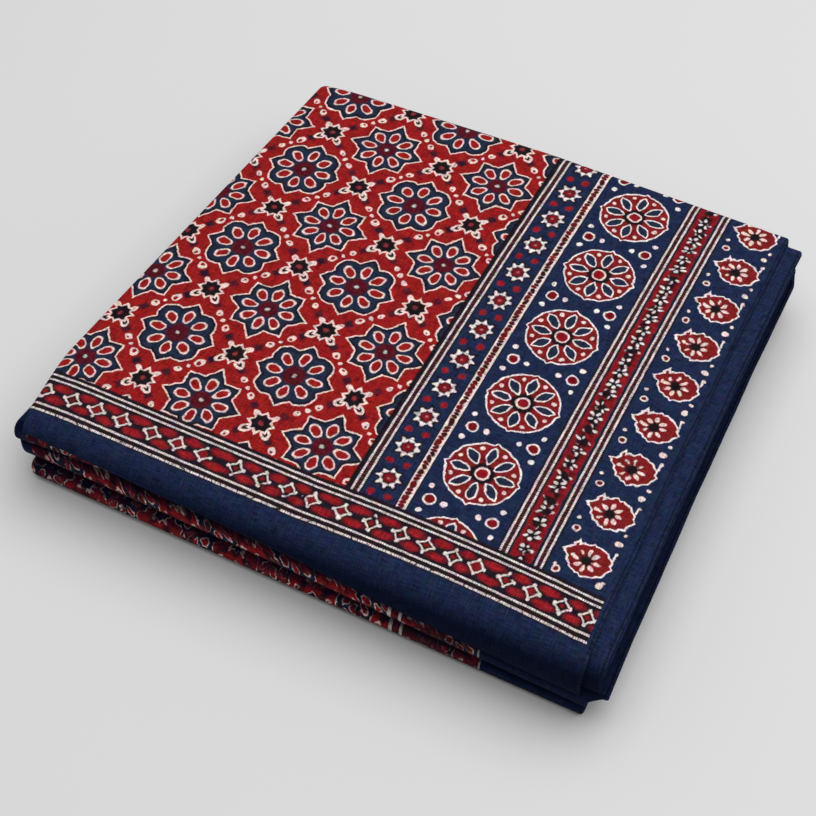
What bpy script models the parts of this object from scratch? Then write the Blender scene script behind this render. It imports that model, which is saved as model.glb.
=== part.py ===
"""Folded ajrakh cloth, lying flat.

One long cloth is folded in half along its left side, so that it is two sheets
thick, and then back and forth in seven legs. The top leg ends in a hem that
rolls down over the front. The right side is the open side, where the selvedges
of the legs lie a little out of line.

Frame: metres, +Z up, X along the front edge, Y to the back, origin under the
middle of the cloth on the surface that it lies on.
"""
import math
from collections import namedtuple

import bmesh
import bpy

MM = 0.001

# Sheet and stack
SHEET = 2.8 * MM
HALF_WIDTH = 193.5 * MM
HALF_DEPTH = 178.2 * MM

# Legs from the top down, in millimetres: how far apart the two sheets of a leg
# are at its left and right end, how far its closed left side lies inside the box,
# how far its first sheet ends short of the box on the right, at the front and at
# the back, and how much further out the second sheet reaches.
Leg = namedtuple("Leg", "pitch_left pitch_right left right_front right_back second_sheet")
LEGS = (
    Leg(4.4, 5.0, 2.3, 15.5, 24.5, 10.4),
    Leg(4.4, 5.2, 4.0, 6.5, 15.5, 1.0),
    Leg(4.4, 5.1, 0.6, 6.0, 16.0, -0.6),
    Leg(4.4, 4.1, 0.0, 1.0, 13.8, 0.5),
    Leg(4.4, 4.0, 3.5, 11.5, 19.0, -1.0),
    Leg(4.4, 3.5, 8.5, 12.5, 21.0, -1.0),
    Leg(4.4, 3.5, 8.5, 13.5, 22.0, 0.0),
)

# Foremost line of each front fold and rearmost line of each back fold, as
# millimetres inside the box, from the top down
Line = namedtuple("Line", "left middle right")
FRONT_FOLDS = (Line(5.0, 13.5, 13.0), Line(8.5, 6.5, 2.5), Line(6.5, 6.0, 5.5))
BACK_FOLDS = (Line(6.4, 0.4, 2.4), Line(8.0, 4.0, 5.0), Line(6.5, 2.5, 4.0))
LAST_EDGE = Line(13.0, 9.0, 11.0)

# Hem: the roll over the front edge, where it lies inside the box in millimetres
# and how many degrees round it the cloth reaches
HEM_ROLL = 22 * MM
HEM_INSET = Line(0.8, 0.8, 0.6)
HEM_TURN = Line(54, 72, 114)

# The left side slants to the back and has a round front corner at the top
LEFT_SLANT = 0.070
CORNER_INSET = 9.0 * MM
CORNER_REACH = 70 * MM

# The right edges bow inwards, the closed side sinks and the middle is crowned
RIGHT_BOW = 1.8 * MM
SIDE_SINK = 0.03
SINK_REACH = 30 * MM
CROWN = 0.03

# Steps of the mesh, and where its lines along the cloth lie, from right to left
HEM_STEPS = 6
FLAT_STEPS = 4
FOLD_STEPS = 6
SIDE_TURN_STEPS = 5
WIDTH_SHARES = (1.0, 0.75, 0.45, 0.2, 0.09, 0.045, 0.015)

COTTON_RED = (0.30, 0.016, 0.022, 1.0)
COTTON_ROUGHNESS = 0.85

# A point on the path of the folded double sheet. Leg grows by one along each
# leg and the fold after it.
PathPoint = namedtuple("PathPoint", "y z normal_y normal_z half_gap leg")


def clear_scene():
    for item in list(bpy.data.objects):
        bpy.data.objects.remove(item, do_unlink=True)


def blend(start, end, share):
    return start + (end - start) * share


def ease(share):
    share = min(max(share, 0.0), 1.0)
    return share * share * (3.0 - 2.0 * share)


def line_value(line, x):
    """Value at x of a line given at the left side, the middle and the right side."""
    share = x / HALF_WIDTH
    if share < 0:
        return blend(line.middle, line.left, -share)
    return blend(line.middle, line.right, share)


def looseness(x, y):
    """How far apart the layers stand: less at the closed side, more in the middle."""
    sink = min(max(1.0 - (x + HALF_WIDTH) / SINK_REACH, 0.0), 1.0)
    across = max(1.0 - (x / HALF_WIDTH) ** 2, 0.0)
    along = max(1.0 - (y / HALF_DEPTH) ** 2, 0.0)
    return 1.0 - SIDE_SINK * sink ** 2 + CROWN * across * along


def pitches(x, y):
    """Distance between the two sheets of each leg, top leg first."""
    share = ease((x + HALF_WIDTH) / (2 * HALF_WIDTH))
    loose = looseness(x, y)
    return [blend(leg.pitch_left, leg.pitch_right, share) * MM * loose for leg in LEGS]


def leg_level(number, x, y):
    """Height of the middle of a leg. The lowest sheet always lies flat."""
    pitch = pitches(x, y)
    level = SHEET / 2 + pitch[-1] / 2
    for upper in range(len(LEGS) - 2, number - 1, -1):
        level += pitch[upper] + pitch[upper + 1]
    return level


def hem_points(x, hem_start):
    """The roll of the hem, from its free end up to the flat of the top leg."""
    half_gap = pitches(x, hem_start)[0] / 2
    radius = HEM_ROLL - half_gap - SHEET / 2
    centre_z = leg_level(0, x, hem_start) - radius
    hem_turn = math.radians(line_value(HEM_TURN, x))
    points = []
    for step in range(HEM_STEPS):
        angle = hem_turn * (1 - step / HEM_STEPS)
        out_y, out_z = -math.sin(angle), math.cos(angle)
        points.append(PathPoint(hem_start + radius * out_y, centre_z + radius * out_z,
                                out_y, out_z, half_gap, 0.0))
    return points


def leg_end(number, x):
    """Y at which a leg ends and the fold after it begins."""
    if number == len(LEGS) - 1:
        return HALF_DEPTH - line_value(LAST_EDGE, x) * MM
    going_back = number % 2 == 0
    side = 1.0 if going_back else -1.0
    folds = BACK_FOLDS if going_back else FRONT_FOLDS
    upper, lower = pitches(x, side * HALF_DEPTH)[number:number + 2]
    fold_reach = (upper + lower) / 2 + max(upper, lower) / 2 + SHEET / 2
    return side * (HALF_DEPTH - line_value(folds[number // 2], x) * MM - fold_reach)


def fold_points(number, x, y, side):
    """The turn from one leg down to the next one."""
    top = leg_level(number, x, y)
    bottom = leg_level(number + 1, x, y)
    centre_z = (top + bottom) / 2
    radius = (top - bottom) / 2
    gaps = pitches(x, y)
    points = []
    for step in range(FOLD_STEPS):
        share = step / FOLD_STEPS
        out_y = math.sin(math.pi * share) * side
        out_z = math.cos(math.pi * share)
        half_gap = blend(gaps[number], gaps[number + 1], share) / 2
        points.append(PathPoint(y + radius * out_y, centre_z + radius * out_z,
                                out_y * side, out_z * side, half_gap, number + share))
    return points


def section(x):
    """The path of the folded double sheet at x, from the hem to the last edge."""
    start = -HALF_DEPTH + line_value(HEM_INSET, x) * MM + HEM_ROLL
    path = hem_points(x, start)
    for number in range(len(LEGS)):
        last = number == len(LEGS) - 1
        side = 1.0 if number % 2 == 0 else -1.0
        end = leg_end(number, x)
        for step in range(FLAT_STEPS + last):
            y = blend(start, end, step / FLAT_STEPS)
            path.append(PathPoint(y, leg_level(number, x, y), 0.0, side,
                                  pitches(x, y)[number] / 2, number))
        if not last:
            path += fold_points(number, x, end, side)
        start = end
    return path


def leg_inset(column, leg):
    """A column of the LEGS table in metres, eased from one leg to the next round a fold.

    Over most of a fold it is the larger of the two: the shorter leg holds the fold in.
    """
    first = min(int(leg), len(LEGS) - 1)
    second = min(first + 1, len(LEGS) - 1)
    start, end = getattr(LEGS[first], column), getattr(LEGS[second], column)
    turn = 2.0 * (leg - first)
    return blend(start, end, ease(turn - 1.0 if start > end else turn)) * MM


def left_side(y, leg):
    """X of the outside of the closed left side."""
    back = y + HALF_DEPTH
    corner = CORNER_INSET * max(1.0 - leg, 0.0) * ease(1.0 - back / CORNER_REACH)
    return -HALF_WIDTH + leg_inset("left", leg) + LEFT_SLANT * back + corner


def right_side(y, leg, sheet):
    """X of the open right edge of sheet 0 or sheet 1."""
    back = (y + HALF_DEPTH) / (2 * HALF_DEPTH)
    inset = blend(leg_inset("right_front", leg), leg_inset("right_back", leg), back)
    bow = RIGHT_BOW * max(1.0 - (y / HALF_DEPTH) ** 2, 0.0)
    return HALF_WIDTH - inset - bow + sheet * leg_inset("second_sheet", leg)


def sheet_column(sheet, share):
    """One line of points along the cloth. Sheet 0 is the upper sheet of the top
    leg, sheet 1 the one below it. Share runs from 0 at the left to 1 at the right.
    """
    sign = 1.0 if sheet == 0 else -1.0
    column = []
    for point in section(blend(-HALF_WIDTH, HALF_WIDTH, share)):
        x_left = left_side(point.y, point.leg) + point.half_gap + SHEET / 2
        x = blend(x_left, right_side(point.y, point.leg, sheet), share)
        offset = sign * point.half_gap
        column.append((x, point.y + offset * point.normal_y, point.z + offset * point.normal_z))
    return column


def turn_column(angle):
    """One line of points round the closed left side, with angle 0 at sheet 0."""
    column = []
    for point in section(-HALF_WIDTH):
        inwards = point.half_gap * (1.0 - math.sin(angle)) + SHEET / 2
        x = left_side(point.y, point.leg) + inwards
        offset = point.half_gap * math.cos(angle)
        column.append((x, point.y + offset * point.normal_y, point.z + offset * point.normal_z))
    return column


def cloth_columns():
    """Columns of points from the right edge of sheet 0 round to that of sheet 1."""
    upper = [sheet_column(0, share) for share in WIDTH_SHARES]
    angles = [math.pi * step / SIDE_TURN_STEPS for step in range(SIDE_TURN_STEPS + 1)]
    turn = [turn_column(angle) for angle in angles]
    lower = [sheet_column(1, share) for share in reversed(WIDTH_SHARES)]
    return upper + turn + lower


def cloth_material():
    material = bpy.data.materials.new("printed_cotton")
    material.use_nodes = True
    shader = material.node_tree.nodes["Principled BSDF"]
    shader.inputs["Base Color"].default_value = COTTON_RED
    shader.inputs["Roughness"].default_value = COTTON_ROUGHNESS
    shader.inputs["Metallic"].default_value = 0.0
    return material


def cloth_sheet():
    """The open sheet, lofted from column to column."""
    work = bmesh.new()
    columns = [[work.verts.new(point) for point in column] for column in cloth_columns()]
    for one, other in zip(columns, columns[1:]):
        for low in range(len(one) - 1):
            work.faces.new((one[low], one[low + 1], other[low + 1], other[low]))
    bmesh.ops.recalc_face_normals(work, faces=work.faces)
    mesh = bpy.data.meshes.new("cloth")
    work.to_mesh(mesh)
    work.free()
    mesh.shade_smooth()
    return mesh


def build_cloth(collection):
    cloth = bpy.data.objects.new("cloth", cloth_sheet())
    cloth.data.materials.append(cloth_material())
    collection.objects.link(cloth)

    thickness = cloth.modifiers.new("thickness", 'SOLIDIFY')
    thickness.thickness = SHEET
    thickness.offset = 0.0
    thickness.use_even_offset = True


def main():
    clear_scene()
    collection = bpy.data.collections.new("folded_ajrakh_cloth")
    bpy.context.scene.collection.children.link(collection)
    build_cloth(collection)


main()
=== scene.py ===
"""The looks of the folded ajrakh cloth: its sheet on the CAD folds, its print and
weave, the shade painted between its folds, and a plain studio.

Lengths are metres in the frame of the CAD model. The sizes of the print are in
millimetres, because its nodes count in them.
"""
import math
from collections import namedtuple

import bpy
import numpy as np
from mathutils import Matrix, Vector

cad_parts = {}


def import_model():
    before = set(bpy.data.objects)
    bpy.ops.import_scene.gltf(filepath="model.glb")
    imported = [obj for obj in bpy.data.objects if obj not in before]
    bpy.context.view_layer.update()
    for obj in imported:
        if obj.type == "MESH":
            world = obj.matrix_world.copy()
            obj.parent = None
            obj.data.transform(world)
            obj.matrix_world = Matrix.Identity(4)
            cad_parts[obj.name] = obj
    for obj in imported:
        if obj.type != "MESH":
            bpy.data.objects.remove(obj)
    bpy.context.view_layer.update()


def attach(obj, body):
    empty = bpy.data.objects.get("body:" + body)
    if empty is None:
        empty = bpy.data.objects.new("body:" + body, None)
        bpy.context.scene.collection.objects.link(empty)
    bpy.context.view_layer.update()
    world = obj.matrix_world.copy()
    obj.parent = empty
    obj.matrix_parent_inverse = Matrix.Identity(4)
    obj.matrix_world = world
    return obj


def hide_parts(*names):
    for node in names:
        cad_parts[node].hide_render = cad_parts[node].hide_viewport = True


MM = 0.001

# Folds

SHEET = 2.8 * MM
HALF_WIDTH = 193.5 * MM
HALF_DEPTH = 178.2 * MM

# Legs from the top down, in millimetres: distance of the two sheets of a leg at
# its left and right end, insets of its left side and of its right edge at the
# front and at the back, and how much further out the second sheet reaches
Leg = namedtuple("Leg", "pitch_left pitch_right left right_front right_back second_sheet")
LEGS = (
    Leg(4.4, 5.0, 2.3, 15.5, 24.5, 10.4),
    Leg(4.4, 5.2, 4.0, 6.5, 15.5, 1.0),
    Leg(4.4, 5.1, 0.6, 6.0, 16.0, -0.6),
    Leg(4.4, 4.1, 0.0, 1.0, 13.8, 0.5),
    Leg(4.4, 4.0, 3.5, 11.5, 19.0, -1.0),
    Leg(4.4, 3.5, 8.5, 12.5, 21.0, -1.0),
    Leg(4.4, 3.5, 8.5, 13.5, 22.0, 0.0),
)

# Outermost line of each fold, as millimetres inside the box, from the top down
Line = namedtuple("Line", "left middle right")
FRONT_FOLDS = (Line(5.0, 13.5, 13.0), Line(8.5, 6.5, 2.5), Line(6.5, 6.0, 5.5))
BACK_FOLDS = (Line(6.4, 0.4, 2.4), Line(8.0, 4.0, 5.0), Line(6.5, 2.5, 4.0))
LAST_EDGE = Line(13.0, 9.0, 11.0)

# Hem: its roll, its millimetres inside the box and the degrees that it turns
HEM_ROLL = 22 * MM
HEM_INSET = Line(0.8, 0.8, 0.6)
HEM_TURN = Line(54, 72, 114)

# The left side slants to the back and has a round front corner at the top
LEFT_SLANT = 0.070
CORNER_INSET = 9.0 * MM
CORNER_REACH = 70 * MM

# The right edges bow inwards, the closed side sinks and the middle is crowned
RIGHT_BOW = 1.8 * MM
SIDE_SINK = 0.03
SINK_REACH = 30 * MM
CROWN = 0.03

# Soft creases of the top: the middle of each, its half length, half width and
# height in millimetres, and how many degrees it is turned from the X axis
Crease = namedtuple("Crease", "x y half_length half_width height turn")
CREASES = (
    Crease(-60, -148, 90, 9, -0.35, -1),
    Crease(70, -140, 60, 11, -0.30, 3),
    Crease(-150, 20, 110, 8, 0.25, 86),
    Crease(-20, 60, 120, 22, 0.30, 12),
    Crease(60, -30, 80, 16, -0.25, -20),
    Crease(118, 40, 130, 7, -0.30, 91),
    Crease(150, -90, 50, 9, 0.25, 75),
    Crease(40, 150, 110, 12, -0.35, 2),
)

# Waves of the right edges, and their shift from leg to leg and from sheet to sheet
EDGE_WAVE = 0.30 * MM
EDGE_WAVE_LENGTH = 17.0 * MM
LEG_WAVE_SHIFT = 1.7
SHEET_WAVE_SHIFT = 2.0

# Steps of the mesh along the cloth and across it, with a close line beside each
# free edge, which keeps the shading of the rim to the rim
HEM_STEPS = 14
HEM_SHARES = (0.0, 0.03) + tuple(step / HEM_STEPS for step in range(1, HEM_STEPS))
TOP_STEPS = 60
LEG_STEPS = 12
FOLD_STEPS = 12
LAST_SHARE = 0.997
WIDTH_STEPS = 52
WIDTH_CROWDING = 1.15
WIDTH_SHARES = (1.0, LAST_SHARE, 0.990) + tuple(
    (step / WIDTH_STEPS) ** WIDTH_CROWDING for step in range(WIDTH_STEPS - 1, 0, -1))
SIDE_TURN_STEPS = 8
RIM_STEPS = 4

# A point on the path of the folded double sheet. Leg grows by one along each
# leg and the fold after it.
PathPoint = namedtuple("PathPoint", "y z normal_y normal_z half_gap leg")


def blend(start, end, share):
    return start + (end - start) * share


def ease(share):
    share = min(max(share, 0.0), 1.0)
    return share * share * (3.0 - 2.0 * share)


def line_value(line, x):
    """Value at x of a line given at the left side, the middle and the right side."""
    share = x / HALF_WIDTH
    if share < 0:
        return blend(line.middle, line.left, -share)
    return blend(line.middle, line.right, share)


def looseness(x, y):
    """How far apart the layers stand: less at the closed side, more in the middle."""
    sink = min(max(1.0 - (x + HALF_WIDTH) / SINK_REACH, 0.0), 1.0)
    across = max(1.0 - (x / HALF_WIDTH) ** 2, 0.0)
    along = max(1.0 - (y / HALF_DEPTH) ** 2, 0.0)
    return 1.0 - SIDE_SINK * sink ** 2 + CROWN * across * along


def pitches(x, y):
    """Distance between the two sheets of each leg, top leg first."""
    share = ease((x + HALF_WIDTH) / (2 * HALF_WIDTH))
    loose = looseness(x, y)
    return [blend(leg.pitch_left, leg.pitch_right, share) * MM * loose for leg in LEGS]


def leg_level(number, x, y):
    """Height of the middle of a leg. The lowest sheet always lies flat."""
    pitch = pitches(x, y)
    level = SHEET / 2 + pitch[-1] / 2
    for upper in range(len(LEGS) - 2, number - 1, -1):
        level += pitch[upper] + pitch[upper + 1]
    return level


def hem_points(x, hem_start):
    """The roll of the hem, from its free end up to the flat of the top leg."""
    half_gap = pitches(x, hem_start)[0] / 2
    radius = HEM_ROLL - half_gap - SHEET / 2
    centre_z = leg_level(0, x, hem_start) - radius
    hem_turn = math.radians(line_value(HEM_TURN, x))
    points = []
    for share in HEM_SHARES:
        angle = hem_turn * (1 - share)
        out_y, out_z = -math.sin(angle), math.cos(angle)
        points.append(PathPoint(hem_start + radius * out_y, centre_z + radius * out_z,
                                out_y, out_z, half_gap, 0.0))
    return points


def leg_end(number, x):
    """Y at which a leg ends and the fold after it begins."""
    if number == len(LEGS) - 1:
        return HALF_DEPTH - line_value(LAST_EDGE, x) * MM
    going_back = number % 2 == 0
    side = 1.0 if going_back else -1.0
    folds = BACK_FOLDS if going_back else FRONT_FOLDS
    upper, lower = pitches(x, side * HALF_DEPTH)[number:number + 2]
    fold_reach = (upper + lower) / 2 + max(upper, lower) / 2 + SHEET / 2
    return side * (HALF_DEPTH - line_value(folds[number // 2], x) * MM - fold_reach)


def fold_points(number, x, y, side):
    """The turn from one leg down to the next one."""
    top = leg_level(number, x, y)
    bottom = leg_level(number + 1, x, y)
    centre_z = (top + bottom) / 2
    radius = (top - bottom) / 2
    gaps = pitches(x, y)
    points = []
    for step in range(FOLD_STEPS):
        share = step / FOLD_STEPS
        out_y = math.sin(math.pi * share) * side
        out_z = math.cos(math.pi * share)
        half_gap = blend(gaps[number], gaps[number + 1], share) / 2
        points.append(PathPoint(y + radius * out_y, centre_z + radius * out_z,
                                out_y * side, out_z * side, half_gap, number + share))
    return points


def section(x):
    """The path of the folded double sheet at x, from the hem to the last edge."""
    start = -HALF_DEPTH + line_value(HEM_INSET, x) * MM + HEM_ROLL
    path = hem_points(x, start)
    for number in range(len(LEGS)):
        last = number == len(LEGS) - 1
        side = 1.0 if number % 2 == 0 else -1.0
        steps = LEG_STEPS if number else TOP_STEPS
        shares = [step / steps for step in range(steps)] + [LAST_SHARE, 1.0] * last
        end = leg_end(number, x)
        for share in shares:
            y = blend(start, end, share)
            path.append(PathPoint(y, leg_level(number, x, y), 0.0, side,
                                  pitches(x, y)[number] / 2, number))
        if not last:
            path += fold_points(number, x, end, side)
        start = end
    return path


def leg_inset(column, leg):
    """A column of the LEGS table in metres, eased from one leg to the next round a fold.

    Over most of a fold it is the larger of the two: the shorter leg holds the fold in.
    """
    first = min(int(leg), len(LEGS) - 1)
    second = min(first + 1, len(LEGS) - 1)
    start, end = getattr(LEGS[first], column), getattr(LEGS[second], column)
    turn = 2.0 * (leg - first)
    return blend(start, end, ease(turn - 1.0 if start > end else turn)) * MM


def left_side(y, leg):
    """X of the outside of the closed left side."""
    back = y + HALF_DEPTH
    corner = CORNER_INSET * max(1.0 - leg, 0.0) * ease(1.0 - back / CORNER_REACH)
    return -HALF_WIDTH + leg_inset("left", leg) + LEFT_SLANT * back + corner


def right_side(y, leg, sheet):
    """X of the open right edge of sheet 0 or sheet 1."""
    back = (y + HALF_DEPTH) / (2 * HALF_DEPTH)
    inset = blend(leg_inset("right_front", leg), leg_inset("right_back", leg), back)
    bow = RIGHT_BOW * max(1.0 - (y / HALF_DEPTH) ** 2, 0.0)
    wave = EDGE_WAVE * math.sin(y / EDGE_WAVE_LENGTH + LEG_WAVE_SHIFT * leg
                                 + SHEET_WAVE_SHIFT * sheet)
    return HALF_WIDTH - inset - bow + wave + sheet * leg_inset("second_sheet", leg)


def crease_height(x, y, leg):
    """How far the creases lift the top leg. They fade out round the back fold."""
    height = 0.0
    for crease in CREASES:
        turn = math.radians(crease.turn)
        from_x, from_y = x / MM - crease.x, y / MM - crease.y
        along = (from_x * math.cos(turn) + from_y * math.sin(turn)) / crease.half_length
        across = (from_y * math.cos(turn) - from_x * math.sin(turn)) / crease.half_width
        height += crease.height * math.exp(-along ** 2 - across ** 2)
    return height * MM * max(1.0 - leg, 0.0)


def sheet_column(sheet, share):
    """One line of points along the cloth. Sheet 0 is the upper sheet of the top
    leg, sheet 1 the one below it. Share runs from 0 at the left to 1 at the right.
    """
    sign = 1.0 if sheet == 0 else -1.0
    column = []
    for point in section(blend(-HALF_WIDTH, HALF_WIDTH, share)):
        x_left = left_side(point.y, point.leg) + point.half_gap + SHEET / 2
        x_right = right_side(point.y, point.leg, sheet) - SHEET / 2
        x = blend(x_left, x_right, share)
        offset = sign * point.half_gap
        z = point.z + offset * point.normal_z + crease_height(x, point.y, point.leg)
        column.append((x, point.y + offset * point.normal_y, z))
    return column


def turn_column(angle):
    """One line of points round the closed left side, with angle 0 at sheet 0."""
    column = []
    for point in section(-HALF_WIDTH):
        inwards = point.half_gap * (1.0 - math.sin(angle)) + SHEET / 2
        x = left_side(point.y, point.leg) + inwards
        offset = point.half_gap * math.cos(angle)
        z = point.z + offset * point.normal_z + crease_height(x, point.y, point.leg)
        column.append((x, point.y + offset * point.normal_y, z))
    return column


# Sheet

# The print's own frame: X and path of the middle of the star at the front
PRINT_X = 93.4
PRINT_Y = 112.7

# How the print runs out of true, in slopes and millimetres
FIELD_SLOPE = 0.0195
FIELD_LEAN = 0.008
BORDER_LEAN = 0.0145
LEAN_REACH = 125.0
LEAN_LIMIT = 1.3
BORDER_BOW = 1.5
BOW_MIDDLE = 100.0
BOW_REACH = 175.0
BOW_ONSET = 6
MEAN_OF_BOW = 1 / 3
END_ARCH = 1.7

# Millimetres from the closed side that count as 1 in the place on the sheets
FOLD_SPAN = 100.0

# Painted shade: share of the way round a fold where it is painted lit most, how far
# from there it stays lit and how wide the edge of its shade is, and the shade of a leg
FOLD_LIT = 0.47
FOLD_LIT_REACH = 0.04
FOLD_LIT_EDGE = 0.17
LEG_SHADE = 0.30


def fold_shade(leg):
    """Painted shade along the cloth's path: a fold is painted lit in its middle only,
    and the legs between the folds are painted dark, but for the top one."""
    number = min(int(leg), len(LEGS) - 1)
    share = leg - number
    if number == 0 and share < FOLD_LIT:
        return 0.0
    if share == 0.0:
        return LEG_SHADE
    dark = (abs(share - FOLD_LIT) - FOLD_LIT_REACH) / FOLD_LIT_EDGE
    return min(max(dark, 0.0), 1.0)


def cloth_columns():
    """Columns of points from the right edge of sheet 0 round to that of sheet 1,
    and a number for each: 0 on sheet 0, up to 1 round the turn, and 1 on sheet 1."""
    angles = [math.pi * step / SIDE_TURN_STEPS for step in range(SIDE_TURN_STEPS + 1)]
    columns = [sheet_column(0, share) for share in WIDTH_SHARES]
    columns += [turn_column(angle) for angle in angles]
    columns += [sheet_column(1, share) for share in reversed(WIDTH_SHARES)]
    flat = len(WIDTH_SHARES)
    layer = [0.0] * flat + [angle / math.pi for angle in angles] + [1.0] * flat
    return np.array(columns), np.array(layer)


def print_places(points, layer):
    """Where each point lies on the flat cloth in metres, its place across the borders,
    which both sheets count from the same side, and the sheet: 0, round the turn up
    to 1, and 1 more for each FOLD_SPAN away from the turn."""
    x = points[:, :, 0] / MM + PRINT_X
    y = points[:, :, 1] / MM + PRINT_Y
    step = np.linalg.norm(np.diff(points, axis=1), axis=2) / MM
    path = np.concatenate([np.zeros((len(points), 1)), np.cumsum(step, axis=1)], axis=1)
    path += (y - path)[:, len(HEM_SHARES):len(HEM_SHARES) + 1]

    across = np.clip((x - PRINT_X) / LEAN_REACH, 0.0, LEAN_LIMIT)
    lean = blend(FIELD_LEAN, BORDER_LEAN, across) * y
    bow = BORDER_BOW * (MEAN_OF_BOW - ((y - BOW_MIDDLE) / BOW_REACH) ** 2)
    u = x + lean + bow * np.clip(across * BOW_ONSET, 0, 1)

    layer = layer[:, None]
    lower_half = layer >= 0.5
    fold = np.argmax(lower_half)
    from_fold = u - u[fold]
    flat_u = np.where(lower_half, u[fold] - from_fold, u)
    sheet_place = layer + (layer >= 1.0) * from_fold / FOLD_SPAN

    flat_v = path - FIELD_SLOPE * x
    return flat_u * MM, flat_v * MM, u * MM, sheet_place * MM


def unit(vectors):
    return vectors / np.linalg.norm(vectors, axis=-1, keepdims=True)


def sheet_normals(points):
    """Unit normals of a grid of points, outwards on the top, and its two directions."""
    along = np.gradient(points, axis=1)
    across = np.gradient(points, axis=0)
    return unit(np.cross(along, across)), along, across


def rim_directions(along, across, edge):
    """Unit vectors out of the sheet at each point of its edge."""
    outward = np.zeros(along.shape)
    for line, side, sign in ((along, np.s_[:, 0], -1), (along, np.s_[:, -1], 1),
                             (across, 0, -1), (across, -1, 1)):
        outward[side] += sign * unit(line[side])
    return unit(outward.reshape(-1, 3)[edge])


def grid_edge(grid):
    """The numbers once round the edge of a grid."""
    return np.concatenate([grid[:, 0], grid[-1, 1:], grid[-2::-1, -1], grid[0, -2:0:-1]])


def grid_faces(grid):
    """The faces between the points of a grid, as the numbers of their corners."""
    quads = np.stack([grid[:-1, :-1], grid[1:, :-1], grid[1:, 1:], grid[:-1, 1:]], axis=-1)
    return quads.reshape(-1, 4)


# Patches of the bake map: the columns and rows of the sheet that each covers, and
# its place on the map. On a turned one the columns run up the map.
Patch = namedtuple("Patch", "columns rows left bottom right top turned")

# The bake map: its margins, the far corner of the patch of the top, the strip of
# the inner side and the first strip of the rim
MAP_START = 0.004
MAP_END = 0.996
TOP_PATCH_RIGHT = 0.846
TOP_PATCH_END = 0.862
INNER_LEFT = 0.977
INNER_RIGHT = 0.989
RIM_LEFT = 0.992
RIM_WIDTH = 0.001

# Rows of strips on it: start of the first one, step to the next one and width
FRONT_STRIPS = (0.867, 0.038, 0.034)
BACK_STRIPS = (0.850, 0.024, 0.020)
HIDDEN_STRIPS = (0.898, 0.011, 0.008)


def strip_edges(strips, number):
    """Where a strip starts and ends on the bake map."""
    first, step, width = strips
    return first + step * number, first + step * number + width


def rows_between(first_row, seen, last_row):
    """The rows before, between and after the folds that are seen."""
    starts = [first_row] + [end for start, end in seen]
    ends = [start for start, end in seen] + [last_row]
    return zip(starts, ends)


def bake_patches(last_column, last_row):
    """Outer patches of the map: most of it for the top, strips for the folds."""
    middle = len(WIDTH_SHARES) + SIDE_TURN_STEPS // 2
    upper, lower = (0, middle), (middle, last_column)
    folds = [len(HEM_SHARES) + TOP_STEPS + number * (LEG_STEPS + FOLD_STEPS)
             for number in range(len(LEGS) - 1)]
    seen = [(fold - 1, fold + FOLD_STEPS + 1) for fold in folds]
    patches = [Patch(upper, (0, seen[0][1]), MAP_START, MAP_START,
                     TOP_PATCH_RIGHT, TOP_PATCH_END, False)]
    for number, fold_rows in enumerate(seen[1::2]):
        bottom, top = strip_edges(FRONT_STRIPS, number)
        patches.append(Patch(lower, fold_rows, MAP_START, bottom, TOP_PATCH_RIGHT, top, False))
    for number, fold_rows in enumerate(seen[2::2]):
        left, right = strip_edges(BACK_STRIPS, number)
        patches.append(Patch(upper, fold_rows, left, MAP_START, right, MAP_END, True))
    hidden = [(upper, rows) for rows in rows_between(seen[0][1], seen[2::2], last_row)]
    hidden += [(lower, rows) for rows in rows_between(0, seen[1::2], last_row)]
    for number, (half, hidden_rows) in enumerate(hidden):
        left, right = strip_edges(HIDDEN_STRIPS, number)
        patches.append(Patch(half, hidden_rows, left, MAP_START, right, MAP_END, True))
    return patches


def patch_places(middle, quads, patches):
    """Places on the bake map of the corners of the faces between the grid points."""
    width = np.linalg.norm(np.diff(middle, axis=0), axis=2).mean(axis=1)
    path = np.linalg.norm(np.diff(middle, axis=1), axis=2).mean(axis=0)
    width = np.concatenate([[0.0], np.cumsum(width)])
    path = np.concatenate([[0.0], np.cumsum(path)])
    column, row = np.divmod(quads, middle.shape[1])
    places = np.zeros(quads.shape + (2,))
    for patch in patches:
        (left, right), (low, high) = patch.columns, patch.rows
        chosen = ((column[:, 0] >= left) & (column[:, 0] < right)
                  & (row[:, 0] >= low) & (row[:, 0] < high))
        a = (width[column[chosen]] - width[left]) / (width[right] - width[left])
        b = (path[row[chosen]] - path[low]) / (path[high] - path[low])
        if patch.turned:
            a, b = b, a
        places[chosen, :, 0] = blend(patch.left, patch.right, a)
        places[chosen, :, 1] = blend(patch.bottom, patch.top, b)
    return places


def bake_map(middle, quads, edge_length):
    """The bake map, corner by corner: the outer side, the inner side, the rim."""
    last_column, last_row = len(middle) - 1, len(middle[0]) - 1
    outer = patch_places(middle, quads, bake_patches(last_column, last_row))
    whole = Patch((0, last_column), (0, last_row),
                  INNER_LEFT, MAP_START, INNER_RIGHT, MAP_END, True)
    inner = patch_places(middle, quads, [whole])
    parts = [outer[:, ::-1], inner]
    ends = np.linspace(MAP_START, MAP_END, edge_length + 1)
    for step in range(RIM_STEPS):
        near = RIM_LEFT + RIM_WIDTH * step
        far = near + RIM_WIDTH
        corners = [(near, ends[:-1]), (far, ends[:-1]), (far, ends[1:]), (near, ends[1:])]
        parts.append(np.stack([np.stack([np.full(edge_length, x), y], axis=-1)
                               for x, y in corners], axis=1))
    return np.concatenate(parts).reshape(-1, 2)


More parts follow.
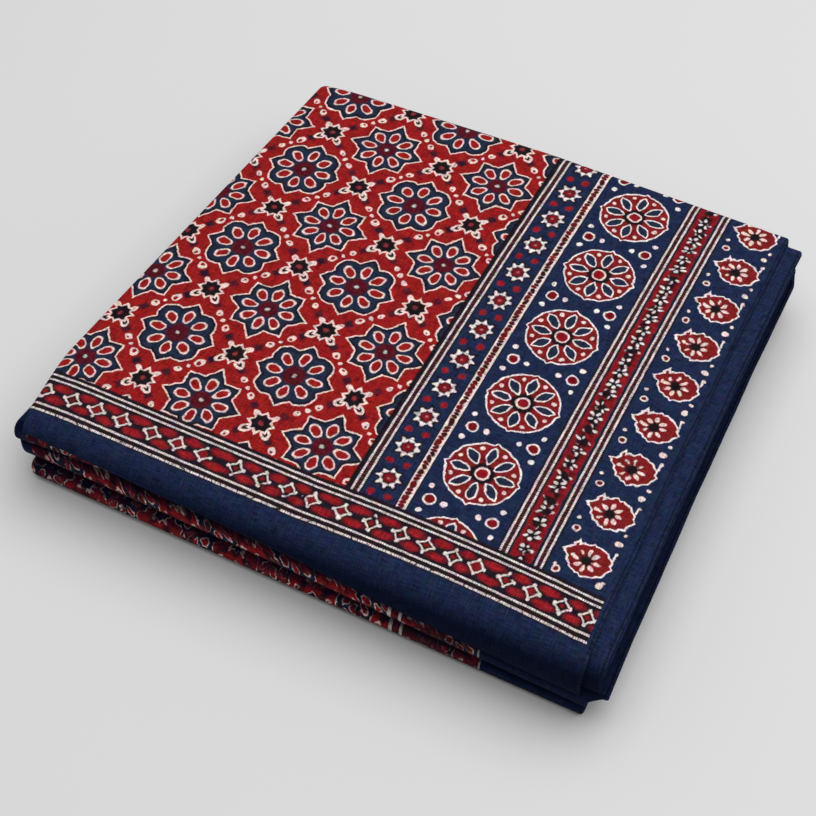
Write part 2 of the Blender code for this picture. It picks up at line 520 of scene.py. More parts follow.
def cloth_shell(middle, normals, quads, edge, outward):
    """Points and faces of the closed sheet: its outer side, its inner side and its
    round rim. Sources has the grid point that each point belongs to."""
    middle, normals = middle.reshape(-1, 3), normals.reshape(-1, 3)
    count = len(middle)
    points = [middle + normals * SHEET / 2, middle - normals * SHEET / 2]
    sources = [np.arange(count), np.arange(count)]
    loops = [edge]
    for step in range(1, RIM_STEPS):
        angle = math.pi * step / RIM_STEPS
        reach = math.sin(angle) * outward + math.cos(angle) * normals[edge]
        points.append(middle[edge] + reach * SHEET / 2)
        sources.append(edge)
        loops.append(np.arange(len(edge)) + 2 * count + (step - 1) * len(edge))
    loops.append(edge + count)
    faces = [quads[:, ::-1], quads + count]
    for upper, lower in zip(loops, loops[1:]):
        faces.append(np.stack([upper, lower, np.roll(lower, -1), np.roll(upper, -1)], axis=-1))
    return np.concatenate(points), np.concatenate(faces), np.concatenate(sources)


def add_object(name, data):
    item = bpy.data.objects.new(name, data)
    bpy.context.scene.collection.objects.link(item)
    return item


def add_map(mesh, name, corners):
    mesh.uv_layers.new(name=name).uv.foreach_set("vector", corners.astype(np.float32).ravel())


def build_cloth():
    """The closed sheet as one mesh, with the maps that its print and shade need."""
    middle, layer = cloth_columns()
    normals, along, across = sheet_normals(middle)
    grid = np.arange(middle[:, :, 0].size).reshape(middle.shape[:2])
    quads = grid_faces(grid)
    edge = grid_edge(grid)
    outward = rim_directions(along, across, edge)
    points, faces, sources = cloth_shell(middle, normals, quads, edge, outward)
    mesh = bpy.data.meshes.new("cloth_sheet")
    mesh.from_pydata(points.tolist(), [], faces.tolist())

    flat_u, flat_v, border_u, sheet_place = print_places(middle, layer)
    # Painted shade round the folds, and how far the outer side faces up, from which the hem gets
    # its painted shade
    shade = np.array([fold_shade(point.leg) for point in section(0.0)])
    shade = np.broadcast_to(shade, flat_u.shape)
    lift = normals[:, :, 2]
    for name, first, second in (("Cloth", flat_u, flat_v), ("Border", border_u, sheet_place),
                                ("Shade", shade * MM, lift * MM)):
        values = np.stack([first.ravel(), second.ravel()], axis=-1)
        add_map(mesh, name, values[sources[faces.ravel()]])
    add_map(mesh, "OFBake", bake_map(middle, quads, len(edge)))
    mesh.shade_smooth()
    return add_object("cloth_sheet", mesh)


# Print and painted shade

# Colours of the print
RED = (0.270, 0.0115, 0.0120)
DEEP_RED = (0.192, 0.0128, 0.0145)
HUB_RED = (0.120, 0.0065, 0.0140)
CHAIN_RED = (0.21, 0.010, 0.014)
DROP_RED = (0.28, 0.012, 0.016)
LOZENGE_RED = (0.28, 0.013, 0.017)
SMALL_HEART = (0.22, 0.030, 0.035)
FLOWER_HEART = (0.19, 0.009, 0.014)
ROSETTE_HEART = (0.24, 0.007, 0.014)
END_HEART = (0.20, 0.012, 0.016)
ROSETTE_DOT = (0.17, 0.006, 0.010)
LEAF_DOT = (0.13, 0.010, 0.014)
BEAD_RED = (0.150, 0.009, 0.013)
BAR_RED = (0.12, 0.010, 0.014)
LINE_RED = (0.080, 0.020, 0.024)
NAVY = (0.0131, 0.0216, 0.0605)
DULL_NAVY = (0.0155, 0.0235, 0.0510)
STITCH_BLUE = (0.05, 0.07, 0.13)
BLACK = (0.0130, 0.0080, 0.0105)
BLOCK_BLACK = (0.016, 0.009, 0.020)
OPEN_PETAL = (0.020, 0.018, 0.016)
HUB_BLACK = (0.030, 0.008, 0.016)
FLOWER_BLACK = (0.035, 0.007, 0.010)
BEAD_BLACK = (0.022, 0.008, 0.010)
BAR_BLACK = (0.030, 0.008, 0.012)
LINE_BLACK = (0.014, 0.008, 0.010)
END_BLACK = (0.016, 0.009, 0.016)
END_LINE_BLACK = (0.018, 0.010, 0.012)
CREAM = (0.800, 0.590, 0.550)
PALE_CREAM = (0.78, 0.64, 0.60)
END_CREAM = (0.76, 0.66, 0.62)
WHITE = (0.810, 0.710, 0.710)
MOTIF_EYE = (0.50, 0.48, 0.46)
FLOWER_EYE = (0.40, 0.14, 0.14)
BAR_GREY = (0.62, 0.54, 0.52)
EDGE_GREY = (0.40, 0.36, 0.36)
# Colour of the shade painted between the folds, on the lower sheet and on the hem
SHADE = (0.0010, 0.0024, 0.0120)

# Widths over which an edge of the print fades: as a rule, and on small things
SOFT_EDGE = 0.45
DOT_EDGE = 0.6

DIAGONAL = math.sqrt(0.5)
FIELD_PITCH = 80.0

# The bands of the border: the middle of each across the cloth, the place of its
# first motif along the cloth and the pitch of its motifs
Band = namedtuple("Band", "middle first pitch")
FLOWERS = Band(124.2, -7.15, 25.54)
ROSETTES = Band(170.5, 22.6, 57.5)
CHAIN = Band(212.8, 4.7, 9.4)
LEAVES = Band(246.6, -5.7, 34.5)
BEADS = Band(139.05, 1.65, 3.3)

# The band along the end of the cloth: here the middle is a place along the cloth
END_BAND = Band(-33.7, -43.5, 17.2)

# Places of the two fine lines of each pair, across their band
FIELD_LINES = (108.6, 112.6)
CHAIN_LINES = (200.6, 204.3)
LEAF_LINES = (221.9, 225.5)
INNER_END_LINES = (-20.75, -24.45)
OUTER_END_LINES = (-43.4, -47.2)

# Across the cloth: where the field ends on the upper and the lower sheet, where the
# black beside it ends, and the stitches
FIELD_EDGE = 104.6
LOWER_FIELD_EDGE = 209.0
BORDER_START = 107.0
STITCH_PLACE = 267.6

# Along the cloth: its whole length, the edges of the end band, and the far side of
# the top leg
PRINT_LENGTH = 2266.0
END_BAND_START = -17.7
END_BAND_END = -48.6
TOP_LENGTH = 330.0


class Value:
    """A number that the material's nodes work out. The usual signs make Math nodes."""

    tree = None

    def __init__(self, socket):
        self.socket = socket

    def __add__(self, other):
        return compute('ADD', self, other)

    def __sub__(self, other):
        return compute('SUBTRACT', self, other)

    def __rsub__(self, other):
        return compute('SUBTRACT', other, self)

    def __mul__(self, other):
        return compute('MULTIPLY', self, other)

    def __truediv__(self, other):
        return compute('DIVIDE', self, other)

    def __abs__(self):
        return compute('ABSOLUTE', self)


def new_node(kind, **settings):
    node = Value.tree.nodes.new(kind)
    for name, value in settings.items():
        setattr(node, name, value)
    return node


def connect(item, slot):
    if isinstance(item, Value):
        Value.tree.links.new(item.socket, slot)
    else:
        slot.default_value = item


def compute(operation, *items, clamp=False):
    node = new_node("ShaderNodeMath", operation=operation, use_clamp=clamp)
    for item, slot in zip(items, node.inputs):
        connect(item, slot)
    return Value(node.outputs[0])


def compute_vector(operation, *items):
    node = new_node("ShaderNodeVectorMath", operation=operation)
    for item, slot in zip(items, node.inputs):
        connect(item, slot)
    return Value(node.outputs[0])


def scaled(value, factor, offset):
    """A value times a factor, plus an offset."""
    return compute('MULTIPLY_ADD', value, factor, offset)


def ramp(value, slope, offset):
    """A value times a slope, plus an offset, kept between 0 and 1."""
    return compute('MULTIPLY_ADD', value, slope, offset, clamp=True)


def nearest(value, pitch):
    """Signed distance from the nearest whole number of pitches."""
    return compute('WRAP', value, pitch / 2, -pitch / 2)


def away(value, pitch):
    """Distance from the nearest whole number of pitches."""
    return compute('PINGPONG', value, pitch / 2)


def between(value, pitch):
    """Minus the distance from the middle between two whole numbers of pitches."""
    return away(value, pitch) - pitch / 2


def smaller(one, other):
    return compute('MINIMUM', one, other)


def larger(one, other):
    return compute('MAXIMUM', one, other)


def above(value, limit):
    return compute('GREATER_THAN', value, limit)


def below(value, limit):
    return compute('LESS_THAN', value, limit)


def length(x, y):
    return compute('SQRT', scaled(x, x, y * y))


def inside(distance, soft=SOFT_EDGE):
    """1 inside an outline, 0 outside, from the distance to it in millimetres."""
    return ramp(distance, -1.0 / soft, 0.5)


def stripe(value, centre, half_width, soft=SOFT_EDGE):
    return inside(abs(value - centre) - half_width, soft)


def facet(long_side, short_side, x, y):
    """Distance outside a straight edge whose foot from the middle is at (x, y)."""
    reach = math.hypot(x, y)
    return scaled(long_side, x / reach, scaled(short_side, y / reach, -reach))


def paint(colour, new_colour, mask):
    """The colour below with a new one laid over it where the mask is 1."""
    node = new_node("ShaderNodeMix", data_type='RGBA')
    factor, under, over = node.inputs[0], node.inputs[6], node.inputs[7]
    connect(mask, factor)
    for item, slot in ((colour, under), (new_colour, over)):
        connect(item if isinstance(item, Value) else (*item, 1.0), slot)
    return Value(node.outputs[2])


def lay(colour, *layers):
    """The colour below with others over it in turn, each inside its outline."""
    for new_colour, *outline in layers:
        colour = paint(colour, new_colour, inside(*outline))
    return colour


def noise(place, size, detail):
    """A noise with features of this size in millimetres: its number and its colour."""
    node = new_node("ShaderNodeTexNoise", noise_dimensions='2D')
    connect(place, node.inputs["Vector"])
    node.inputs["Scale"].default_value = 1.0 / size
    node.inputs["Detail"].default_value = detail
    return Value(node.outputs[0]), Value(node.outputs[1])


def split(vector):
    node = new_node("ShaderNodeSeparateXYZ")
    connect(vector, node.inputs[0])
    return [Value(output) for output in node.outputs]


def join(x, y, z=0.0):
    node = new_node("ShaderNodeCombineXYZ")
    for item, slot in zip((x, y, z), node.inputs):
        connect(item, slot)
    return Value(node.outputs[0])


def uv_place(name):
    """The two numbers of a UV map, in millimetres."""
    node = new_node("ShaderNodeUVMap", uv_map=name)
    x, y, _ = split(Value(node.outputs[0]))
    return x * (1 / MM), y * (1 / MM)


def random_number(*items):
    """A number from 0 to 1 that is the same wherever the items are the same."""
    node = new_node("ShaderNodeTexWhiteNoise", noise_dimensions='3D')
    connect(join(*items), node.inputs["Vector"])
    return Value(node.outputs[0])


def folded_petals(x, y, count):
    """Polar place folded so that every petal lies along the first number."""
    radius = length(x, y)
    angle = nearest(compute('ARCTAN2', y, x), 2 * math.pi / count)
    return radius * compute('COSINE', angle), radius * compute('SINE', angle), radius


def oval(along, across, half_length, half_width):
    """About the distance to an oval round the origin."""
    reach = length(along / half_length, across / half_width)
    return (reach - 1.0) * min(half_length, half_width)


def leaf_shape(along, across, half_length, half_width):
    """Distance to a shape of two arcs that meet in points at both ends."""
    radius = (half_length ** 2 + half_width ** 2) / (2 * half_width)
    return length(along, abs(across) + (radius - half_width)) - radius


def trellis(x, y, cell_s, cell_t, colour):
    """Dark blocks and cream dots on the diagonals between the motifs."""
    block_out, block_half = 14.4, 2.5
    drop_out, drop_size, drop_range, drop_rim = 21.6, 2.1, 1.2, 1.8
    dot_out, dot_size, dot_range = 28.3, 1.9, 1.1
    quarter_shift = 0.31
    fold_x, fold_y = abs(x), abs(y)
    along = (fold_x + fold_y) * DIAGONAL
    across = (fold_x - fold_y) * DIAGONAL
    chance = random_number(scaled(compute('SIGN', x), quarter_shift, cell_s),
                           scaled(compute('SIGN', y), quarter_shift, cell_t))
    block = larger(abs(along - block_out), abs(across)) - block_half
    colour = paint(colour, BLOCK_BLACK, inside(block, 1.7) * scaled(chance, 0.30, 0.70))

    size = scaled(chance, drop_range, drop_size)
    drop_x = along - drop_out
    drop = length(drop_x, across * 1.25) - size
    hole = length(drop_x - 0.6, across + 0.4) - (size - drop_rim)
    dot = length(along - dot_out, across) - scaled(chance, -dot_range, dot_size)
    dots = smaller(larger(drop, 0.0 - hole), dot)
    return lay(colour, (CREAM, dots, DOT_EDGE))


def small_flower(x, y, colour):
    """A cream star with a black heart, two full petals above and two open ones below."""
    full_out, open_out, open_rim, heart_radius = 8.3, 8.9, 1.3, 1.6
    along_up = (abs(x) + y) * DIAGONAL
    across_up = (abs(x) - y) * DIAGONAL
    open_petals = oval(across_up - open_out, along_up, 4.3, 2.8)
    full_petals = oval(along_up - full_out, across_up, 2.9, 1.9)
    px, py, radius = folded_petals(x, y, 8)
    star = facet(px, abs(py), 3.22, 4.40)
    dark = facet(px, abs(py), 3.30, 3.45)
    return lay(colour, (CREAM, open_petals), (OPEN_PETAL, open_petals + open_rim),
               (CREAM, smaller(star, full_petals)), (BLACK, dark, 0.7),
               (SMALL_HEART, radius - heart_radius, 1.2))


def large_motif(x, y, floral, colour, speckle):
    """An eight-pointed star, or a round floral of four lobes, with eight petals."""
    star_reach, lobe_out, lobe_radius = 16.8, 10.4, 9.2
    outline_half, navy_inset, petal_rim = 0.50, 1.9, 0.85
    petal_out, hub_radius, eye_radius = 12.5, 6.4, 1.3
    long_side = larger(abs(x), abs(y))
    short_side = smaller(abs(x), abs(y))
    star = smaller(long_side - star_reach, facet(long_side, short_side, 9.17, 12.42))
    lobe = length(long_side - lobe_out, short_side - lobe_out) - lobe_radius
    round_one = smaller(lobe, facet(long_side, short_side, 13.51, 12.57))
    outline = scaled(round_one - star, floral, star)

    px, py, radius = folded_petals(x, y, 8)
    hub = paint(HUB_BLACK, HUB_RED, ramp(speckle, 3.0, -0.9))
    taper = py * scaled(px, -0.022, 1.27)
    petal = oval(px - scaled(floral, 0.9, petal_out), taper, 5.4, 3.3)
    return lay(colour, (CREAM, outline - outline_half), (BLACK, outline + outline_half),
               (DULL_NAVY, outline + navy_inset, 1.8),
               (hub, radius - hub_radius - floral * 0.6, 1.6), (CREAM, petal),
               (RED, petal + petal_rim), (MOTIF_EYE, radius - eye_radius, 0.9))


def motif_cell(s, t, shift):
    """The numbers of a diagonal cell of the field, and a place from its middle."""
    cell_s = compute('FLOOR', s + shift)
    cell_t = compute('FLOOR', t + shift)
    from_s = s - cell_s - (0.5 - shift)
    from_t = t - cell_t - (0.5 - shift)
    x = (from_s + from_t) * (FIELD_PITCH / 2)
    y = (from_s - from_t) * (FIELD_PITCH / 2)
    return cell_s, cell_t, x, y


def field_print(u, v, colour, speckle):
    """The red field: stars and round florals in turn, small flowers between them."""
    i, j = u / FIELD_PITCH, v / FIELD_PITCH
    s, t = i + j, i - j
    cell_s, cell_t, x, y = motif_cell(s, t, 0.0)
    colour = trellis(x, y, cell_s, cell_t, colour)
    colour = small_flower(x, y, colour)
    cell_s, cell_t, x, y = motif_cell(s, t, 0.5)
    floral = compute('PINGPONG', cell_s + cell_t, 1.0)
    return large_motif(x, y, floral, colour, speckle)


def flower_band(x, v, colour):
    """White flowers and pairs of red drops, closer together in the front half."""
    front_half, tighter = 95.0, 0.04
    ring_radius, heart_radius, eye_radius = 4.2, 3.2, 0.8
    drop_out, drop_radius, dark_rim = 5.4, 2.2, 0.9
    spaced = v + scaled(abs(v - front_half), -tighter, -FLOWERS.first)
    y = nearest(spaced, FLOWERS.pitch)
    px, py, radius = folded_petals(x, y, 8)
    petals = smaller(oval(px - 5.5, py, 2.1, 1.0), oval(px - 4.9, py, 1.0, 1.8))
    drops = length(abs(x) - drop_out, between(spaced, FLOWERS.pitch)) - drop_radius
    return lay(colour, (BLACK, petals - dark_rim, 1.2), (WHITE, petals, DOT_EDGE),
               (FLOWER_BLACK, radius - ring_radius, 1.2),
               (FLOWER_HEART, radius - heart_radius, 1.6),
               (FLOWER_EYE, radius - eye_radius, 0.9), (DROP_RED, drops, 1.6))


def rosette_band(x, v, colour):
    """Large red rosettes with navy petals, and ringed dots between them."""
    rosette_radius, point_height, outline = 22.3, 1.9, 1.05
    hub_radius, ring_radius, ring_half, heart_radius = 7.4, 3.95, 0.60, 3.2
    petal_out, petal_rim = 13.6, 0.90
    place = v - ROSETTES.first
    y = nearest(place, ROSETTES.pitch)
    px, py, radius = folded_petals(x, y, 8)
    axis = smaller(abs(x), abs(y))
    rim = radius - rosette_radius - inside(axis - 0.8, 2.6) * point_height
    petal = leaf_shape(px - petal_out, py, 6.8, 3.4)
    dots = length(px - 16.8, abs(py) - 6.9) - 1.3
    ring = abs(radius - ring_radius) - ring_half
    colour = lay(colour, (WHITE, rim), (DEEP_RED, rim + outline),
                 (BLACK, radius - hub_radius, 1.4), (WHITE, petal),
                 (DULL_NAVY, petal + petal_rim), (CREAM, smaller(dots, ring), DOT_EDGE),
                 (ROSETTE_HEART, radius - heart_radius, 0.7))

    ringed_radius, ringed_heart, dot_radius = 3.95, 2.95, 1.7
    middle = between(place, ROSETTES.pitch)
    fold = abs(x)
    ringed = length(fold - 19.2, middle)
    dots = smaller(length(fold - 10.4, middle), length(fold - 21.9, abs(middle) - 9.3))
    light = smaller(ringed - ringed_radius, dots - dot_radius)
    return lay(colour, (WHITE, light, DOT_EDGE),
               (ROSETTE_DOT, ringed - ringed_heart, DOT_EDGE))


def chain_band(x, v, colour, blot):
    """Small white flowers with black hearts on a red and black chain."""
    red_half, black_half, heart_radius = 6.6, 3.4, 3.3
    uneven, petal_out = 3.0, 2.95
    number = compute('FLOOR', v / CHAIN.pitch)
    chance = random_number(number, 3.0, 0.0)
    y = v - number * CHAIN.pitch - CHAIN.first + (chance - 0.5) * uneven
    colour = lay(colour, (CHAIN_RED, abs(x) - red_half, 0.8))
    smudge = ramp(blot, 5.0, -1.6)
    colour = paint(colour, BLACK, inside(abs(x) - black_half, 2.8) * smudge)
    slanted = scaled(chance - 0.5, y, x * 0.90)
    px, py, radius = folded_petals(slanted, y, 5)
    colour = lay(colour, (BLACK, radius - heart_radius, 1.4))
    petals = oval(px - petal_out, py, 1.45, 0.95)
    broken = ramp(blot, 9.0, -3.4) * 0.92
    return paint(colour, WHITE, inside(petals, DOT_EDGE) * broken)


def leaf_outline(x, y):
    """Distance to a leaf with a tip and a thorn on its left and teeth all round."""
    tooth_height, tooth_count, spike_height = 1.3, 14, 1.6
    spikes = inside(smaller(abs(x), abs(y)) - 0.4, 2.6) * spike_height
    tip = larger(facet(0.0 - x, abs(y - 2.6), 5.60, 7.63), x + 5.0)
    body = smaller(oval(x - 1.0, y, 12.8, 11.2), tip)
    thorn = (scaled(abs(y - 7.6), 0.6, abs(x + 8.6)) - 2.6) * 0.85
    leaf = smaller(body - spikes, thorn)
    turn = compute('ARCTAN2', y, x) * (tooth_count / (2 * math.pi)) + 0.25
    teeth = compute('PINGPONG', turn, 0.5)
    return scaled(teeth, tooth_height, leaf - 0.3)


def leaf_band(x, v, colour, blot):
    """Red leaves with a white flower in each, and dots between them."""
    outline, heart_radius, petal_out = 1.05, 3.8, 5.7
    place = v - LEAVES.first
    y = nearest(place, LEAVES.pitch)
    leaf = leaf_outline(x, y)
    hook = length(x - 12.9, larger(abs(y - 8.0) - 2.2, 0.0)) - 0.55
    px, py, radius = folded_petals(x + 0.6, y + 0.5, 8)
    petals = oval(px - petal_out, py, 2.3, 1.25) + inside(blot - 0.40, 0.06) * 0.6
    eye = length(x + 8.6, y) - 1.2
    colour = lay(colour, (WHITE, smaller(leaf, hook)), (DEEP_RED, leaf + outline),
                 (BLACK, radius - heart_radius, 2.6), (CREAM, smaller(petals, eye), DOT_EDGE))

    first_gap, raised, ring_radius, ring_heart = -12.0, 4.7, 2.4, 1.45
    middle = between(place + below(v, first_gap) * -raised, LEAVES.pitch)
    ring = length(x + 13.7, middle)
    inner_dots = length(x - 11.6, middle) - 2.0
    edge_dots = smaller(length(x - 13.2, abs(y) - 10.4), length(x + 15.2, y + 9.7)) - 1.1
    light = smaller(ring - ring_radius, smaller(inner_dots, edge_dots))
    return lay(colour, (PALE_CREAM, light, DOT_EDGE), (LEAF_DOT, ring - ring_heart, 0.7))


def double_line(colour, value, lines, dark, worn):
    """Two fine white lines with a dark stripe between them and beside them."""
    dark_half, stripe_half, line_half = 3.6, 1.2, 0.63
    first, second = lines
    across = abs(value - (first + second) / 2)
    colour = lay(colour, (BLACK, across - dark_half, 1.2), (dark, across - stripe_half))
    line = inside(abs(across - abs(second - first) / 2) - line_half, 0.5)
    return paint(colour, WHITE, line * worn)


def beaded_line(colour, value, v, blot):
    """A broad cream line with dark beads along its middle."""
    dark_half, cream_half, wander = 3.6, 2.95, 5.0
    place = scaled(blot, wander, v)
    chance = random_number(compute('FLOOR', place / BEADS.pitch), 5.0, 0.0)
    along = nearest(place - BEADS.first, BEADS.pitch)
    beads = oval(along, scaled(chance, 0.6, value), 1.70, 1.75) - chance * 0.30
    return lay(colour, (BLACK, abs(value) - dark_half, 1.0), (PALE_CREAM, abs(value) - cream_half),
               (paint(BEAD_BLACK, BEAD_RED, chance), beads, 0.7))


def border_print(u, v, line_u, blot, worn):
    """The bands along the selvedge: u counts across them."""
    mark_pitch, mark_half, wander = 2.5, 0.75, 6.0
    marks = away(scaled(blot, wander, v), mark_pitch) - mark_half
    dotted = paint(LINE_BLACK, LINE_RED, inside(marks, 0.7) * 0.9)
    colour = lay(NAVY, (BLACK, u - BORDER_START, 1.4))
    colour = flower_band(u - FLOWERS.middle, v, colour)
    colour = double_line(colour, line_u, FIELD_LINES, dotted, worn)
    colour = rosette_band(u - ROSETTES.middle, v, colour)
    colour = beaded_line(colour, line_u - BEADS.middle, v, blot)
    colour = chain_band(u - CHAIN.middle, v, colour, blot)
    colour = double_line(colour, line_u, CHAIN_LINES, dotted, worn)
    colour = leaf_band(u - LEAVES.middle, v, colour, blot)
    return double_line(colour, line_u, LEAF_LINES, dotted, worn)


def end_print(u, v, line_u, line_v, blot, worn):
    """The band along the end of the cloth: v counts across it."""
    bow_middle, bow_reach, bow_shift, uneven = 105.0, 155.0, 6.5, 4.0
    lozenge_out, black_reach, heart_radius, heart_range = 4.8, 4.4, 1.1, 1.7
    ring_out, ring_half, knob_out, knob_radius = 3.15, 0.54, 4.8, 1.15
    pitch = END_BAND.pitch
    bow = (u - bow_middle) / bow_reach
    spaced = scaled(bow * bow, bow_shift, u - END_BAND.first)
    number = compute('FLOOR', (spaced + pitch / 2) / pitch)
    chance = random_number(number, 7.0, 0.0)
    x = spaced - number * pitch + (chance - 0.5) * uneven
    y = v - END_BAND.middle
    fold_x, fold_y = abs(x), abs(y)
    lozenges = oval(pitch / 2 - fold_x, fold_y - lozenge_out, 5.2, 2.4)
    diamond = fold_x + fold_y
    heart = length(x, y) - heart_radius - chance * heart_range
    colour = lay(END_BLACK, (LOZENGE_RED, lozenges, 2.0), (BLACK, diamond - black_reach, 1.8),
                 (END_HEART, heart, 1.2))
    ring = abs(diamond * DIAGONAL - ring_out) - ring_half
    knobs = length(larger(fold_x, fold_y) - knob_out, smaller(fold_x, fold_y)) - knob_radius
    whole = ramp(blot, 12.0, -2.2) * 0.94
    colour = paint(colour, END_CREAM, inside(smaller(ring, knobs), 0.7) * whole)
    colour = double_line(colour, line_v, INNER_END_LINES, END_LINE_BLACK, worn)

    # Small gaps in the outermost line only
    gap_pitch, gap_half, wander, between_lines = 5.1, 0.35, 9.0, -45.0
    gaps = away(scaled(blot, wander, line_u), gap_pitch)
    unbroken = larger(inside(gap_half - gaps, 0.5), inside(between_lines - line_v))
    dashed = worn * unbroken
    return double_line(colour, line_v, OUTER_END_LINES, END_LINE_BLACK, dashed)


def end_place(v, border_u):
    """Place along the cloth that the end band follows: square to the cloth, and
    sagging a little between the first bands and the edge."""
    top_of_arch, arch_reach, deepest_sag = 162.0, 72.0, -0.8
    bow = (border_u - top_of_arch) / arch_reach
    lowest = above(border_u, top_of_arch) * deepest_sag
    arch = larger(1.0 - bow * bow, lowest)
    return scaled(arch, -END_ARCH, scaled(border_u, FIELD_SLOPE, v))


def lower_print(colour, line_u, blot, place, lower):
    """Plain and smudged patches and two bars, on the lower sheet only."""
    bars_middle = 156.7
    plain, _ = noise(place, 9.0, 1.0)
    darker = scaled(above(line_u, bars_middle), 3.4, -7.8)
    bars = larger(stripe(line_u, 153.3, 1.1), stripe(line_u, 160.0, 0.9))
    for new_colour, mask in ((DEEP_RED, ramp(plain, 22.0, -11.8) * 0.85),
                             (BLACK, ramp(blot, 14.0, darker) * 0.75),
                             (BAR_BLACK, stripe(line_u, bars_middle, 5.0, 1.0)),
                             (BAR_RED, stripe(line_u, bars_middle, 1.4, 1.6)),
                             (BAR_GREY, bars)):
        colour = paint(colour, new_colour, mask * lower)
    return colour


def closed_side(colour, sheet_place, v, line_u, lower):
    """A plain margin round the closed side, but for the lowest front fold, and the
    painted shade of the lower sheet, deepest close to that side."""
    margin_middle, margin_half, lowest_fold = -42.0, 50.5, 1600.0
    under_top = inside(TOP_LENGTH - v)
    from_fold = (sheet_place - 1.0) * FOLD_SPAN
    margin = inside(abs(from_fold - margin_middle) - margin_half, 1.0) * below(v, lowest_fold)
    colour = paint(colour, NAVY, margin * under_top)
    # Painted shade of the lower sheet: deeper past the edge of its field and close to the closed
    # side
    shade_strength = scaled(inside(LOWER_FIELD_EDGE - line_u, 2.0), 0.38, 0.14)
    shade_strength = shade_strength + inside(abs(from_fold) - 42.0, 44.0) * 0.30
    return paint(colour, SHADE, lower * under_top * shade_strength)


def cloth_print(u, v, border_u, sheet_place, place):
    """The colour of the print at a place on the cloth, with painted shade on the lower sheet."""
    wander_reach, line_share, thread_pitch = 2.2, 0.25, 1.4
    wander_x, wander_y, _ = split(noise(place, 5.5, 2.4)[1])
    blot, _ = noise(place, 7.0, 0.0)
    speckle, _ = noise(place, 1.0, 1.0)
    worn = ramp(speckle, 3.0, -0.35)
    worn_along = worn * ramp(away(v, thread_pitch), 1.1, 0.50)
    worn_across = worn * ramp(away(u, thread_pitch), 1.1, 0.50)
    shift_x = (wander_x - 0.5) * wander_reach
    shift_y = (wander_y - 0.5) * wander_reach
    line_u = scaled(shift_x, line_share, border_u)
    line_v = scaled(shift_y, line_share, end_place(v, border_u))
    u, v, border_u = u + shift_x, v + shift_y, border_u + shift_x

    # The lower sheet carries a finer, less even print and no bands
    finer_across, finer_along, less_even = 0.55, 0.45, 1.5
    lower = above(sheet_place, 0.9)
    finer_u = scaled(lower, finer_across, 1.0) * (u + shift_x * (lower * less_even))
    finer_v = scaled(lower, finer_along, 1.0) * (v + shift_y * (lower * less_even))
    colour = field_print(finer_u, finer_v, RED, speckle)
    colour = lower_print(colour, line_u, blot, place, lower)
    borders = border_print(border_u, v, line_u, blot, worn_along)
    field_edge = scaled(lower, LOWER_FIELD_EDGE - FIELD_EDGE, FIELD_EDGE)
    colour = lay(colour, (paint(borders, NAVY, lower), field_edge - line_u, 0.8))
    colour = paint(colour, EDGE_GREY, stripe(line_u, LOWER_FIELD_EDGE, 0.5) * lower)

    # Both ends of the cloth carry the end band, which stops short of the selvedge
    end_band_stop, end_band_slant = 263.8, 0.04
    near_end = smaller(line_v, PRINT_LENGTH - line_v)
    ends = end_print(border_u, near_end + shift_y, line_u, near_end, blot, worn_across)
    stop = scaled(near_end, -end_band_slant, end_band_stop)
    ends = lay(ends, (NAVY, stop - line_u))
    colour = lay(colour, (ends, near_end - END_BAND_START, 0.9),
                 (NAVY, near_end - END_BAND_END, 0.8))
    stitches = stripe(line_u, STITCH_PLACE, 0.4) * inside(away(v, 3.0) - 0.8)
    colour = paint(colour, STITCH_BLUE, stitches * (blot * 0.4))
    return closed_side(colour, sheet_place, v, line_u, lower)


def shade_depth(v, border_u, sheet_place, shade, lift):
    """How much shade is painted between the folds, and on the hem where it turns down."""
    hem_start, field_depth, selvedge_start, selvedge_less = -30.0, 0.82, 258.0, 0.30
    turn_margin, hem_depth = 0.05, 0.84
    on_sheet = larger(below(sheet_place, turn_margin), above(sheet_place, 1 - turn_margin))
    at_hem = inside(v - hem_start, 6.0) * on_sheet
    # Painted shade on the hem, deeper the further it turns down from flat
    hem = ramp(abs(lift), -2.2, 1.90) * at_hem * hem_depth
    # Painted shade of the folds, weaker past the start of the selvedge
    shade_strength = scaled(inside(selvedge_start - border_u, 2.0), -selvedge_less, field_depth)
    return larger(shade * shade_strength, hem)


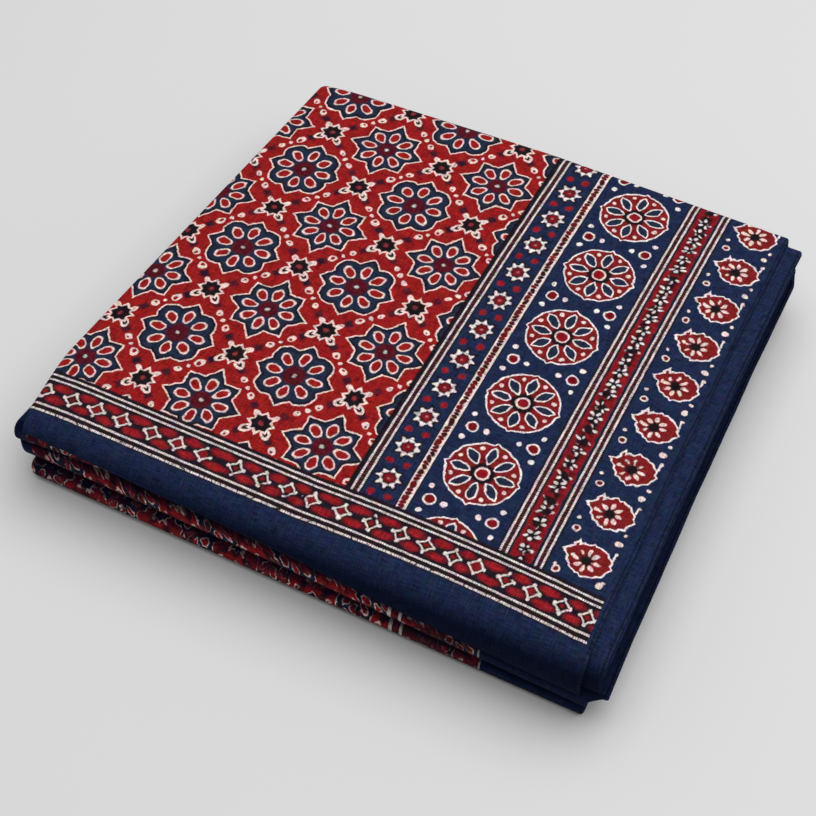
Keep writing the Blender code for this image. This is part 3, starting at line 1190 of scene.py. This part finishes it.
def cloth_material():
    """Printed cotton: the print, uneven dye, painted shade, and threads that run both ways."""
    material = bpy.data.materials.new("ajrakh_cotton")
    material.use_nodes = True
    Value.tree = material.node_tree
    shader = Value.tree.nodes["Principled BSDF"]

    u, v = uv_place("Cloth")
    border_u, sheet_place = uv_place("Border")
    shade, lift = uv_place("Shade")
    place = join(u, v)
    colour = cloth_print(u, v, border_u, sheet_place, place)

    dye_range, dye_least = (0.42, 0.42, 0.42), (0.79, 0.79, 0.79)
    tint_range, tint_least = (0.009, 0.008, 0.009), (-0.0045, -0.004, -0.0045)
    _, dye = noise(place, 6.0, 3.0)
    strength = compute_vector('MULTIPLY_ADD', dye, dye_range, dye_least)
    tint = compute_vector('MULTIPLY_ADD', dye, tint_range, tint_least)
    colour = compute_vector('MULTIPLY_ADD', colour, strength, tint)
    # Painted shade between the folds and on the hem where it turns down
    colour = paint(colour, SHADE, shade_depth(v, border_u, sheet_place, shade, lift))

    thread_close, thread_long = 1.6, 0.14
    warp, _ = noise(join(u * thread_close, v * thread_long), 1.0, 1.0)
    weft, _ = noise(join(u * thread_long, v * thread_close), 1.0, 1.0)
    threads = warp + weft
    light = scaled(threads, 1.35, -0.35)
    colour = compute_vector('MULTIPLY', colour, join(light, light, light))
    connect(colour, shader.inputs["Base Color"])
    connect(scaled(threads, 0.2, 0.66), shader.inputs["Roughness"])
    shader.inputs["Specular IOR Level"].default_value = 0.02
    shader.inputs["Sheen Weight"].default_value = 0.01

    bump = new_node("ShaderNodeBump")
    bump.inputs["Strength"].default_value = 0.5
    bump.inputs["Distance"].default_value = 0.25 * MM
    connect(threads, bump.inputs["Height"])
    connect(Value(bump.outputs[0]), shader.inputs["Normal"])
    return material


# Studio

CAMERA_PLACE = (0.31885, -0.65505, 0.87456)
CAMERA_FORWARD = (-0.28699, 0.56340, -0.77474)
CAMERA_LENS = 79.41
CAMERA_SENSOR = 36.0
FLOOR_SIZE = 12.0
FLOOR_COLOUR = (0.70, 0.70, 0.70, 1.0)
FLOOR_ROUGHNESS = 0.9

# The soft light: where it stands, its size in metres and its power in watts
LIGHT_PLACE = (0.42, 0.36, 2.2)
LIGHT_SIZE = 3.4
LIGHT_POWER = 57.5
SKY_COLOUR = (1.0, 1.0, 1.0, 1.0)
SKY_STRENGTH = 0.34


def build_floor():
    half = FLOOR_SIZE / 2
    mesh = bpy.data.meshes.new("floor")
    mesh.from_pydata([(-half, -half, 0), (half, -half, 0), (half, half, 0), (-half, half, 0)],
                     [], [(0, 1, 2, 3)])
    material = bpy.data.materials.new("studio_paper")
    material.use_nodes = True
    shader = material.node_tree.nodes["Principled BSDF"]
    shader.inputs["Base Color"].default_value = FLOOR_COLOUR
    shader.inputs["Roughness"].default_value = FLOOR_ROUGHNESS
    shader.inputs["Specular IOR Level"].default_value = 0.0
    mesh.materials.append(material)
    return add_object("floor", mesh)


def build_light():
    lamp = bpy.data.lights.new("key_light", 'AREA')
    lamp.shape = 'DISK'
    lamp.size = LIGHT_SIZE
    lamp.energy = LIGHT_POWER
    light = add_object("key_light", lamp)
    light.location = LIGHT_PLACE
    light.rotation_euler = (-Vector(LIGHT_PLACE)).to_track_quat("-Z", "Y").to_euler()


def build_sky():
    world = bpy.data.worlds.new("studio")
    world.use_nodes = True
    background = world.node_tree.nodes["Background"]
    background.inputs["Color"].default_value = SKY_COLOUR
    background.inputs["Strength"].default_value = SKY_STRENGTH
    bpy.context.scene.world = world
    bpy.context.scene.view_settings.view_transform = 'Standard'


def build_camera():
    data = bpy.data.cameras.new("camera")
    data.lens = CAMERA_LENS
    data.sensor_width = CAMERA_SENSOR
    camera = add_object("camera", data)
    camera.location = CAMERA_PLACE
    camera.rotation_euler = Vector(CAMERA_FORWARD).to_track_quat("-Z", "Y").to_euler()
    bpy.context.scene.camera = camera


def main():
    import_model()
    cloth = build_cloth()
    cloth.data.materials.append(cloth_material())
    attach(cloth, "root")
    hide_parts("cloth")
    floor = build_floor()
    build_light()
    build_sky()
    build_camera()


main()
